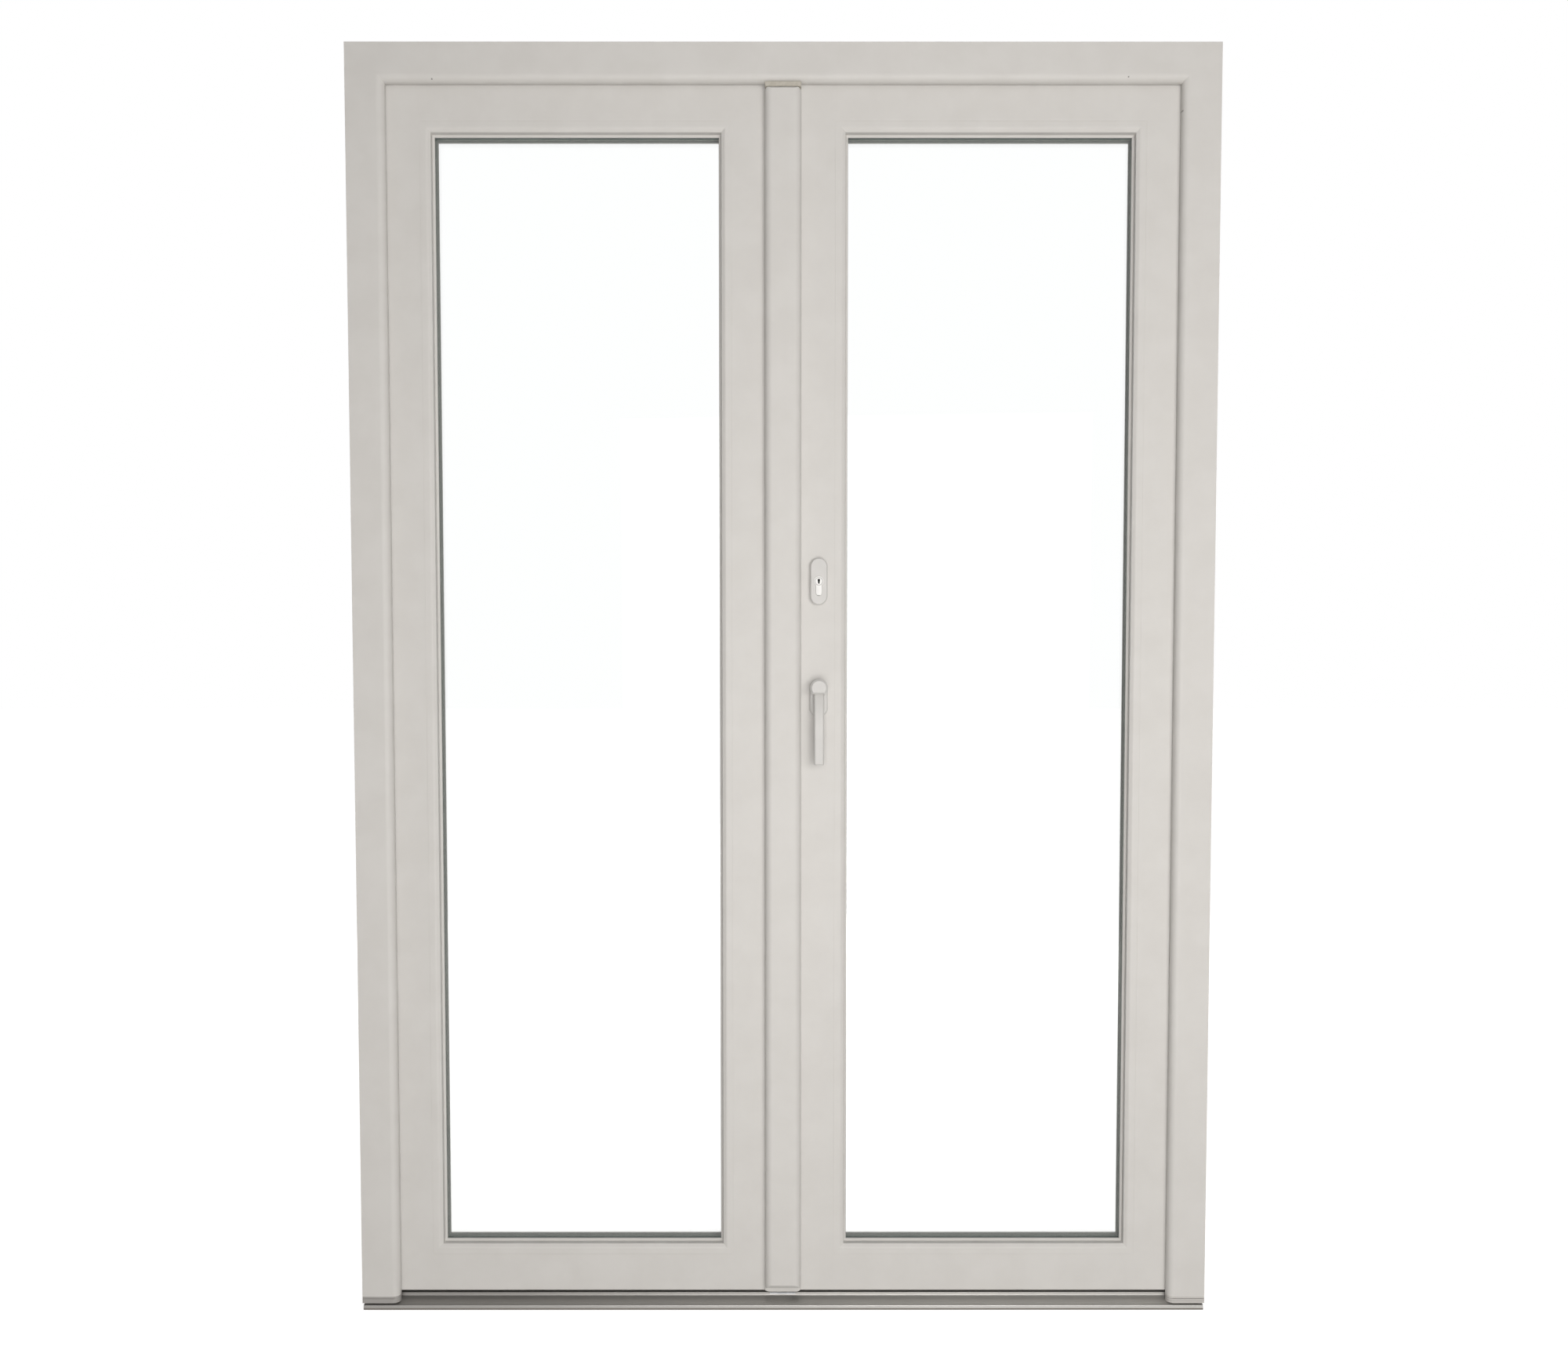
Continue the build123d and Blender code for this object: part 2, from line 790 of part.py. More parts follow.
def frame_wing(side, height):
    """Lower half of a hinge: a plate on the jamb with the fixed knuckle."""
    sign, _ = hinge_planes(side)
    low = height - hinge_length / 2
    x0, x1 = x_range(sign, hinge_x - barrel_radius, hinge_x - barrel_radius + frame_wing_width)
    plate = box_at(x0, x1, frame_depth, frame_depth + wing_thickness, low, low + hinge_length)
    plate = softened(plate, wing_corner)
    web_x = x_range(sign, hinge_x - barrel_radius, hinge_x + barrel_radius * 0.8)
    middle = height - knuckle_gap / 2
    web = box_at(*web_x, frame_depth + wing_thickness, hinge_depth, low, middle)
    knuckle = barrel(side, low, middle, barrel_radius)
    return plate + web + knuckle - barrel(side, low - 1, middle + 1, pin_radius)


def leaf_wing(side, height):
    """Upper half of a hinge: a plate on the leaf with the turning knuckle."""
    sign, _ = hinge_planes(side)
    low = height - hinge_length / 2
    edge = leaf_side + outer_leg_reach - 1.0
    x0, x1 = x_range(sign, edge - leaf_wing_width, edge)
    plate = box_at(x0, x1, leaf_outer_face, leaf_outer_face + wing_thickness, low, low + hinge_length)
    plate = softened(plate, wing_corner)
    middle = height + knuckle_gap / 2
    web_x = x_range(sign, edge - 10.0, hinge_x)
    web = box_at(*web_x, leaf_outer_face, leaf_outer_face + wing_thickness, middle, low + hinge_length)
    knuckle = barrel(side, middle, low + hinge_length, barrel_radius)
    bore = barrel(side, middle - 1, low + hinge_length + 1, pin_radius + pin_clearance)
    return plate + web + knuckle - bore


def hinge_pin(side, height):
    """Pin pressed into the fixed knuckle, with a round head on top."""
    low = height - hinge_length / 2
    head = height + hinge_length / 2 + pin_head_gap
    return barrel(side, low, head, pin_radius) + barrel(side, head, head + pin_head_height, pin_head_radius)


# Handle

def stadium(width, length, x, z):
    shape = rect(x - width / 2, x + width / 2, z - length / 2, z + length / 2)
    return fillet(shape.vertices(), width / 2 - 0.01)


def domed_plate(width, length, thickness, z, outside):
    """A plate with round ends and a softened outer edge, on either side of the leaf."""
    d0, d1 = sash_recess - thickness, sash_recess
    if outside:
        d0, d1 = leaf_outer_face, leaf_outer_face + thickness
    solid = facing(stadium(width, length, lock_x, z), d0, d1)
    outer_face = solid.faces().sort_by(Axis.Y)[-1 if outside else 0]
    return chamfer(outer_face.edges(), thickness * 0.2)


def rosette():
    """Plate behind the lever; its upper round end is centred on the spindle."""
    centre = spindle_height + rosette_rise - rosette_length / 2
    body = domed_plate(rosette_width, rosette_length, rosette_thickness, centre, False)
    return body - rod_along_y(lock_x, spindle_height, neck_radius + neck_clearance,
                              sash_recess - rosette_thickness - 1, sash_recess + 1)


def lever_hub():
    """Round-topped head of the lever with a flat underside, softened at its front."""
    front = sash_recess - rosette_thickness - hub_gap - hub_thickness
    back = front + hub_thickness
    outline = Pos(lock_x, spindle_height) * Circle(hub_radius)
    outline &= rect(lock_x - hub_radius, lock_x + hub_radius,
                    spindle_height - hub_flat, spindle_height + hub_radius)
    hub = facing(outline, front, back)
    return chamfer(hub.faces().sort_by(Axis.Y)[0].edges(), hub_softening)


def handle_lever():
    """Lever swept from its head down to the tip, bowed away from the leaf."""
    start = (lock_x, at_depth(sash_recess - lever_start), spindle_height)
    middle = (lock_x, at_depth(sash_recess - lever_middle), spindle_height - lever_middle_drop)
    end = (lock_x, at_depth(sash_recess - lever_tip), spindle_height - lever_reach)
    upper = TangentArc(start, middle, tangent=(0, -0.5, -1))
    lower = TangentArc(middle, end, tangent=upper % 1)
    section = RectangleRounded(lever_width, lever_thickness, lever_thickness * 0.35)
    plane = Plane(origin=upper @ 0, x_dir=(1, 0, 0), z_dir=upper % 0)
    grip = sweep(plane * section, path=upper + lower)
    tip_edges = grip.faces().sort_by(Axis.Z)[0].edges()
    grip = chamfer(tip_edges, lever_thickness * 0.15)
    seat = sash_recess - lever_seat
    hub_middle = sash_recess - rosette_thickness - hub_gap - hub_thickness / 2
    neck = rod_along_y(lock_x, spindle_height, neck_radius, hub_middle, seat)
    half = spindle_width / 2 + spindle_clearance
    socket = box_at(lock_x - half, lock_x + half, seat - spindle_reach - 1.0, seat + 1.0,
                    spindle_height - half, spindle_height + half)
    return lever_hub() + grip + neck - socket


def handle_spindle():
    half = spindle_width / 2
    seat = sash_recess - lever_seat
    return box_at(lock_x - half, lock_x + half, seat - spindle_reach, hardware_line + case_thickness / 2,
                  spindle_height - half, spindle_height + half)


# Lock cylinder

cylinder_front = sash_recess - escutcheon_thickness - cylinder_overhang
cylinder_back = leaf_outer_face + escutcheon_thickness + cylinder_overhang


def escutcheon(outside):
    plate = domed_plate(escutcheon_width, escutcheon_length, escutcheon_thickness,
                        cylinder_height, outside)
    return plate - profile_hole(running_gap, cylinder_front, cylinder_back)


def cylinder_body():
    body = profile_hole(0.0, cylinder_front, cylinder_back)
    stem_low = cylinder_height + profile_radius - profile_total
    half_gap = cam_width / 2 + cam_clearance
    body -= box_at(lock_x - 2 * profile_radius, lock_x + 2 * profile_radius,
                   hardware_line - half_gap, hardware_line + half_gap,
                   stem_low + 6.0, cylinder_height + 2 * profile_radius)
    return body - rod_along_y(lock_x, cylinder_height, plug_radius + plug_clearance,
                              cylinder_front - 1.0, cylinder_back + 1.0)


def cylinder_plug():
    plug = rod_along_y(lock_x, cylinder_height, plug_radius, cylinder_front, cylinder_back)
    half = keyway_width / 2
    half_height = keyway_height / 2
    inner_end = cylinder_front + keyway_depth
    outer_end = cylinder_back - keyway_depth
    for d0, d1 in ((cylinder_front - 1, inner_end), (outer_end, cylinder_back + 1)):
        plug -= box_at(lock_x - half, lock_x + half, d0, d1,
                       cylinder_height - half_height, cylinder_height + half_height)
        plug -= rod_along_y(lock_x, cylinder_height + keyway_round_rise, keyway_round_radius, d0, d1)
    return plug


def cylinder_cam():
    half = cam_width / 2
    d0, d1 = hardware_line - half, hardware_line + half
    half_lobe = cam_lobe_width / 2
    ring_shape = rod_along_y(lock_x, cylinder_height, plug_radius + cam_ring_wall, d0, d1)
    lobe = box_at(lock_x - half_lobe, lock_x + half_lobe, d0, d1,
                  cylinder_height - cam_reach, cylinder_height)
    lobe = fillet(lobe.edges().filter_by(Axis.Y).sort_by(Axis.Z)[:2], half_lobe - 0.5)
    return ring_shape + lobe - rod_along_y(lock_x, cylinder_height, plug_radius, d0 - 1, d1 + 1)


# Espagnolette of the active leaf

def lock_case():
    case = lock_case_block(0.0)
    case -= profile_hole(running_gap, sash_recess, leaf_outer_face)
    half = cam_width / 2 + cam_clearance
    case -= rod_along_y(lock_x, cylinder_height, cam_reach + 1.0,
                        hardware_line - half, hardware_line + half)
    return case - rod_along_y(lock_x, spindle_height, spindle_width * 0.75,
                              sash_recess, leaf_outer_face)


faceplate_low = leaf_underside + faceplate_end_gap
faceplate_high = leaf_top - faceplate_end_gap


def lock_faceplate():
    half = faceplate_groove_width / 2 - 0.2
    front = meeting_edge + faceplate_groove_depth - faceplate_thickness
    plate = box_at(front, meeting_edge + faceplate_groove_depth, hardware_line - half,
                   hardware_line + half, faceplate_low, faceplate_high)
    slot_half = cam_pin_radius + running_gap
    for z in cam_heights:
        slot = rect(hardware_line - slot_half, hardware_line + slot_half,
                    z - slot_half, z + rod_travel + slot_half)
        slot = fillet(slot.vertices(), slot_half - 0.01)
        plane = Plane(origin=(front - 1, at_depth(0), 0), x_dir=(0, 1, 0), z_dir=(1, 0, 0))
        plate -= extrude(plane * slot, amount=faceplate_thickness + 2)
    return plate


def drive_rod():
    start = meeting_edge + faceplate_groove_depth + running_gap
    half = rod_width / 2
    return box_at(start, start + rod_thickness, hardware_line - half, hardware_line + half,
                  cam_heights[0] - rod_overrun, cam_heights[-1] + rod_overrun)


def locking_cams():
    inner = meeting_edge + faceplate_groove_depth + running_gap
    outer = meeting_edge - cam_pin_reach
    cams = []
    for z in cam_heights:
        place = Pos((inner + outer) / 2, at_depth(hardware_line), z) * Rot(0, 90, 0)
        cam = place * Cylinder(cam_pin_radius, inner - outer)
        tip = cam.faces().sort_by(Axis.X)[0]
        cams.append(chamfer(tip.edges(), 1.0))
    return group(cams)


def cam_keeps():
    """Keeps on the meeting cover's body, open outwards so that the cams swing clear."""
    half_slot = cam_pin_radius + 0.5
    keeps = []
    for z in cam_heights:
        low = z - half_slot - keep_end_wall
        high = z + rod_travel + half_slot + keep_end_wall
        block = box_at(body_face, body_face + keep_thickness, hardware_line - half_slot - keep_wall,
                       hardware_line + half_slot + keep_wall, low, high)
        block = fillet(block.edges().filter_by(Axis.X), 1.5)
        block -= box_at(body_face - 1, body_face + keep_thickness + 1, hardware_line - half_slot,
                        hardware_line + half_slot + keep_wall + 1,
                        low + keep_end_wall, high - keep_end_wall)
        keeps.append(block)
    return group(keeps)


# Shoot bolts of the passive leaf and their keeps

def shoot_bolt(up):
    """A sliding bolt in the cover's edge channel, with a finger tab."""
    side = bolt_channel - 2 * bolt_clearance
    tip = body_upper_end + bolt_proud if up else cover_lower_end - bolt_proud
    sign = 1 if up else -1
    bar_end = tip - sign * bolt_round_length
    bar_start = tip - sign * bolt_length
    z0, z1 = min(bar_end, bar_start), max(bar_end, bar_start)
    bar = box_at(bolt_x - side / 2, bolt_x + side / 2, hardware_line - side / 2,
                 hardware_line + side / 2, z0, z1)
    length = abs(tip - bar_end)
    round_end = Pos(bolt_x, at_depth(hardware_line), (tip + bar_end) / 2)
    round_end = round_end * Cylinder(bolt_radius, length)
    end_face = round_end.faces().sort_by(Axis.Z)[-1 if up else 0]
    round_end = chamfer(end_face.edges(), 1.5)
    tab_z = bar_start + sign * bolt_tab_from_end
    half_width_of_tab = bolt_tab_width / 2
    tab = box_at(bolt_x + side / 2, body_face + bolt_tab_reach, hardware_line - half_width_of_tab,
                 hardware_line + half_width_of_tab, tab_z - bolt_tab_length / 2,
                 tab_z + bolt_tab_length / 2)
    return bar + round_end + tab


def top_bolt_keep():
    high = overall_height - rebate_floor
    low = high - top_keep_height
    half = top_keep_width / 2
    block = box_at(bolt_x - half, bolt_x + half, hardware_line - half, hardware_line + half, low, high)
    block = fillet(block.edges().filter_by(Axis.Z), top_keep_width * 0.1)
    hole_top = body_upper_end + bolt_proud + bolt_throw + keep_hole_extra_depth
    hole = Pos(bolt_x, at_depth(hardware_line), (low + hole_top) / 2 - 1)
    return block - hole * Cylinder(bolt_radius + keep_hole_clearance, hole_top - low + 2)


def bottom_bolt_keep():
    x0, x1 = keep_plate_range()
    high = threshold_height - keep_plate_drop
    plate = box_at(x0, x1, tread_depth, keep_plate_back, high - keep_plate_thickness, high)
    place = Pos(bolt_x, at_depth(hardware_line), high)
    hole = place * Cylinder(bolt_radius + keep_hole_clearance, 4 * keep_plate_thickness)
    return plate - hole


def build_nodes():
    nodes = {
        "outer_frame": outer_frame(),
        "frame_steels": frame_steels(),
        "frame_gasket": frame_gasket(),
        "threshold": threshold(),
        "threshold_seal": threshold_seal(),
        "head_seal_pad": head_pad(),
        "top_bolt_keep": top_bolt_keep(),
        "bottom_bolt_keep": bottom_bolt_keep(),
    }
    for side in ("left", "right"):
        nodes[f"{side}_foot_connector"] = foot_connector(side)
        nodes[f"{side}_hinge_frame_wings"] = group(frame_wing(side, z) for z in hinge_heights)
        nodes[f"{side}_hinge_leaf_wings"] = group(leaf_wing(side, z) for z in hinge_heights)
        nodes[f"{side}_hinge_pins"] = group(hinge_pin(side, z) for z in hinge_heights)
        nodes[f"{side}_sash"] = sash(side)
        nodes[f"{side}_sash_steels"] = sash_steels(side)
        nodes[f"{side}_sash_gasket"] = sash_gasket(side)
        for place, bead in beads(side).items():
            nodes[f"{side}_leaf_{place}_bead"] = bead
        nodes[f"{side}_glass_seals"] = glass_seals(side)
        nodes[f"{side}_inner_pane"] = pane(side, glass_inner)
        nodes[f"{side}_outer_pane"] = pane(side, glass_outer - pane_thickness)
        nodes[f"{side}_spacer"] = spacer(side)
        nodes[f"{side}_glazing_blocks"] = glazing_blocks(side)
    profile, upper_cap, lower_cap = cover_parts()
    nodes["meeting_cover"] = profile
    nodes["meeting_cover_top_cap"] = upper_cap
    nodes["meeting_cover_bottom_cap"] = lower_cap
    nodes["meeting_cover_gasket"] = cover_gasket()
    nodes["handle_rosette"] = rosette()
    nodes["handle_lever"] = handle_lever()
    nodes["handle_spindle"] = handle_spindle()
    nodes["inner_escutcheon"] = escutcheon(False)
    nodes["outer_escutcheon"] = escutcheon(True)
    nodes["cylinder_body"] = cylinder_body()
    nodes["cylinder_plug"] = cylinder_plug()
    nodes["cylinder_cam"] = cylinder_cam()
    nodes["lock_case"] = lock_case()
    nodes["lock_faceplate"] = lock_faceplate()
    nodes["drive_rod"] = drive_rod()
    nodes["locking_cams"] = locking_cams()
    nodes["cam_keeps"] = cam_keeps()
    nodes["top_shoot_bolt"] = shoot_bolt(True)
    nodes["bottom_shoot_bolt"] = shoot_bolt(False)
    return nodes


os.makedirs("parts", exist_ok=True)
for name, shape in build_nodes().items():
    export_step(shape, f"parts/{name}.step")
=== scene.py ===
import json
import math

import bpy
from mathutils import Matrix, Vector

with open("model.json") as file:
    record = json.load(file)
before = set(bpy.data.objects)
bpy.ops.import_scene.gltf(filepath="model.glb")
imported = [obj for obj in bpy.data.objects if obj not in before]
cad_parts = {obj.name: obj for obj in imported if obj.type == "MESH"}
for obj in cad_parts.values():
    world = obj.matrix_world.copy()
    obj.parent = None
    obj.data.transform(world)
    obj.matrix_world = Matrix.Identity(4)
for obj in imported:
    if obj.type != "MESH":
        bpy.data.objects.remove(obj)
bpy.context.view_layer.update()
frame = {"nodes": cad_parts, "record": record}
nodes = frame["nodes"]


# Places on the object, in metres

GLASS_MIDDLE = 0.017
FRAME_MARKS = [(-0.593, 2.1194, -0.020), (0.582, 2.1225, -0.020), (0.6755, 2.0686, -0.016)]
MARK_HALF_WIDTH = 0.0007
MARK_HALF_HEIGHT = 0.0006
MARK_EDGE = 0.0008

KEY_AXIS = (0.061, 1.276)
KEY_RING_RADIUS = 0.0065
KEY_RING_WIDTH = 0.0009

# The keyway's two parts: half width, then lowest and highest place from the plug's axis
KEYHOLE_SLOT = (0.0013, -0.0036, 0.0002)
KEYHOLE_HEAD = (0.0018, 0.0, 0.0040)
KEYHOLE_EDGE = 0.0002

CONNECTOR_UPPER_LINE = (0.0192, 0.0196)
CONNECTOR_LOWER_LINE = (0.0155, 0.0159)
LINE_EDGE = 0.0003

# A fade goes from no tint at its first coordinate to the full tint at its second
CAP_BEVEL_PAINTED_LIGHT = (0.0366, 0.0358)
CONNECTOR_PAINTED_SIDE_LIGHT = (-0.1, 0.1)
CYLINDER_FOOT_FADE = (1.2526, 1.2520)
SPACER_FADE = (0.014, 0.021)
THRESHOLD_PAINTED_SIDE_LIGHT = (-0.5, 0.3)
THRESHOLD_PAINTED_CONTACT_SHADOW = (0.0028, 0.0022)

# Values that several materials share

FINE_DETAIL = 2.0
RUBBER_GRAIN = 1500.0
SHALLOW = 0.00001
FINE = 0.00002
RELIEF = 0.25
PLAIN_SPECULAR = 0.5
SOFT_SPECULAR = 0.4


# Materials

def new_material(name):
    material = bpy.data.materials.new(name)
    material.use_nodes = True
    tree = material.node_tree
    shader = next(n for n in tree.nodes if n.type == "BSDF_PRINCIPLED")
    return material, tree, shader


def add(tree, kind, **inputs):
    node = tree.nodes.new(kind)
    for key, value in inputs.items():
        node.inputs[key.replace("_", " ")].default_value = value
    return node


def position(tree, scale=(1, 1, 1)):
    """Object-space coordinates scaled along each axis."""
    coords = tree.nodes.new("ShaderNodeTexCoord")
    mapping = tree.nodes.new("ShaderNodeMapping")
    mapping.inputs["Scale"].default_value = scale
    tree.links.new(coords.outputs["Object"], mapping.inputs["Vector"])
    return mapping.outputs["Vector"]


def coordinate(tree, axis):
    """One object-space coordinate, in metres."""
    coords = tree.nodes.new("ShaderNodeTexCoord")
    split = tree.nodes.new("ShaderNodeSeparateXYZ")
    tree.links.new(coords.outputs["Object"], split.inputs["Vector"])
    return split.outputs[axis]


def noise(tree, vector, scale, detail=3.0, roughness=0.55):
    node = add(tree, "ShaderNodeTexNoise", Scale=scale, Detail=detail, Roughness=roughness)
    tree.links.new(vector, node.inputs["Vector"])
    return node.outputs["Fac"]


def ramp(tree, factor, low, high, start=0.35, end=0.65):
    """Blend between two colours as a factor goes from start to end."""
    node = tree.nodes.new("ShaderNodeValToRGB")
    first, last = node.color_ramp.elements
    first.position = start
    last.position = end
    first.color = (*low, 1.0)
    last.color = (*high, 1.0)
    tree.links.new(factor, node.inputs["Fac"])
    return node.outputs["Color"]


def map_range(tree, factor, low, high):
    """Spread a factor from 0 to 1 over low to high."""
    node = add(tree, "ShaderNodeMapRange", To_Min=low, To_Max=high)
    tree.links.new(factor, node.inputs["Value"])
    return node.outputs["Result"]


def fraction(tree, value, start, end):
    """0 at start and 1 at end, level beyond them; start may be the larger."""
    node = add(tree, "ShaderNodeMapRange", From_Min=start, From_Max=end)
    tree.links.new(value, node.inputs["Value"])
    return node.outputs["Result"]


def combine(tree, operation, first, second):
    """One maths operation on two linked values."""
    node = tree.nodes.new("ShaderNodeMath")
    node.operation = operation
    tree.links.new(first, node.inputs[0])
    tree.links.new(second, node.inputs[1])
    return node.outputs[0]


def bump(tree, shader, factor, distance):
    node = add(tree, "ShaderNodeBump", Strength=RELIEF, Distance=distance)
    tree.links.new(factor, node.inputs["Height"])
    tree.links.new(node.outputs["Normal"], shader.inputs["Normal"])


def show_mix(tree, factor, first, second, output):
    """Send the first shader to the output where the factor is 0, the second where it is 1."""
    mix = tree.nodes.new("ShaderNodeMixShader")
    tree.links.new(factor, mix.inputs["Fac"])
    tree.links.new(first.outputs[0], mix.inputs[1])
    tree.links.new(second.outputs[0], mix.inputs[2])
    tree.links.new(mix.outputs[0], output.inputs["Surface"])


def tinted(tree, factor, colour, other):
    """Blend from a linked colour to a fixed one as the factor goes from 0 to 1."""
    node = tree.nodes.new("ShaderNodeMix")
    node.data_type = "RGBA"
    factor_socket, from_socket, to_socket = node.inputs[0], node.inputs[6], node.inputs[7]
    blended = node.outputs[2]
    tree.links.new(factor, factor_socket)
    tree.links.new(colour, from_socket)
    to_socket.default_value = (*other, 1.0)
    return blended


# Places of tints: each gives a function that builds a factor, 1 where the tint shows

def fade(axis, start, end):
    """From nothing at start to full at end along an axis, and full beyond it."""
    return lambda tree: fraction(tree, coordinate(tree, axis), start, end)


def inside(low, high, edge):
    """Inside a box given by two corners; None leaves an axis open."""
    def build(tree):
        sides = []
        for axis, start, end in zip("XYZ", low, high):
            if start is not None:
                sides.append(fraction(tree, coordinate(tree, axis), start - edge, start))
            if end is not None:
                sides.append(fraction(tree, coordinate(tree, axis), end + edge, end))
        factor = sides[0]
        for side in sides[1:]:
            factor = combine(tree, "MINIMUM", factor, side)
        return factor
    return build


def level_line(low, high):
    """A thin level line between two heights."""
    return inside((None, None, low), (None, None, high), LINE_EDGE)


def mark(x, z, depth):
    """A small dark spot on the room side of the frame."""
    return inside((x - MARK_HALF_WIDTH, None, z - MARK_HALF_HEIGHT),
                  (x + MARK_HALF_WIDTH, depth, z + MARK_HALF_HEIGHT), MARK_EDGE)


def painted_keyhole_shade(half_width, low, high):
    """One part of the keyway's opening, on both ends of the plug, painted black as painted shade
    inside the keyway.
    """
    x, z = KEY_AXIS
    return inside((x - half_width, None, z + low), (x + half_width, None, z + high),
                  KEYHOLE_EDGE)


def key_ring(tree):
    """A thin ring round the plug, on both ends of the cylinder."""
    x, z = KEY_AXIS
    inner = KEY_RING_RADIUS - KEY_RING_WIDTH
    outer = KEY_RING_RADIUS + KEY_RING_WIDTH
    half = KEY_RING_WIDTH / 2
    distance = tree.nodes.new("ShaderNodeVectorMath")
    distance.operation = "DISTANCE"
    distance.inputs[1].default_value = (x, 0.0, z)
    tree.links.new(position(tree, (1, 0, 1)), distance.inputs[0])
    return combine(tree, "MINIMUM",
                   fraction(tree, distance.outputs["Value"], inner, KEY_RING_RADIUS - half),
                   fraction(tree, distance.outputs["Value"], outer, KEY_RING_RADIUS + half))


def speckled(name, low, high, roughness, spread=0.05, scale=18.0, grain=900.0, depth=FINE,
             metallic=0.0, stretch=(1, 1, 1), specular=PLAIN_SPECULAR, tints=()):
    """A finish with a slow colour drift, an uneven gloss and a fine surface grain.

    Each tint is a place and the colour that shows there."""
    material, tree, shader = new_material(name)
    drift = noise(tree, position(tree, stretch), scale)
    colour = ramp(tree, drift, low, high)
    for place, other in tints:
        colour = tinted(tree, place(tree), colour, other)
    tree.links.new(colour, shader.inputs["Base Color"])
    fine = noise(tree, position(tree, stretch), grain, FINE_DETAIL)
    tree.links.new(map_range(tree, fine, roughness - spread, roughness + spread),
                   shader.inputs["Roughness"])
    bump(tree, shader, fine, depth)
    shader.inputs["Metallic"].default_value = metallic
    shader.inputs["Specular IOR Level"].default_value = specular
    return material


def glass_material():
    """Clear glass that lets the lamps' light through to what lies behind it."""
    tint = (0.995, 1.0, 0.998, 1.0)
    light_let_through = (0.93, 0.95, 0.945, 1.0)
    refraction = 1.45
    smear_scale = 7.0
    smear_roughness = 0.012
    material, tree, shader = new_material("clear_glass")
    shader.inputs["Base Color"].default_value = tint
    shader.inputs["Transmission Weight"].default_value = 1.0
    shader.inputs["IOR"].default_value = refraction
    smear = noise(tree, position(tree), smear_scale)
    tree.links.new(map_range(tree, smear, 0.0, smear_roughness), shader.inputs["Roughness"])
    clear = add(tree, "ShaderNodeBsdfTransparent", Color=light_let_through)
    path = tree.nodes.new("ShaderNodeLightPath")
    output = next(n for n in tree.nodes if n.type == "OUTPUT_MATERIAL")
    show_mix(tree, path.outputs["Is Shadow Ray"], shader, clear, output)
    return material


def glass_seal_material():
    """Grey rubber, a little lighter on the outer side of the glass."""
    room_side = (0.26, 0.26, 0.25)
    outer_side = (0.30, 0.292, 0.275)
    smoothest, roughest = 0.5, 0.7
    material, tree, shader = new_material("glass_seal")
    outside = tree.nodes.new("ShaderNodeMath")
    outside.operation = "GREATER_THAN"
    outside.inputs[1].default_value = GLASS_MIDDLE
    tree.links.new(coordinate(tree, "Y"), outside.inputs[0])
    tone = ramp(tree, outside.outputs[0], room_side, outer_side, start=0.1, end=0.9)
    tree.links.new(tone, shader.inputs["Base Color"])
    fine = noise(tree, position(tree), RUBBER_GRAIN, FINE_DETAIL)
    tree.links.new(map_range(tree, fine, smoothest, roughest), shader.inputs["Roughness"])
    bump(tree, shader, fine, FINE)
    return material


# Finishes by slot: two colours that the surface drifts between, then what sets it apart

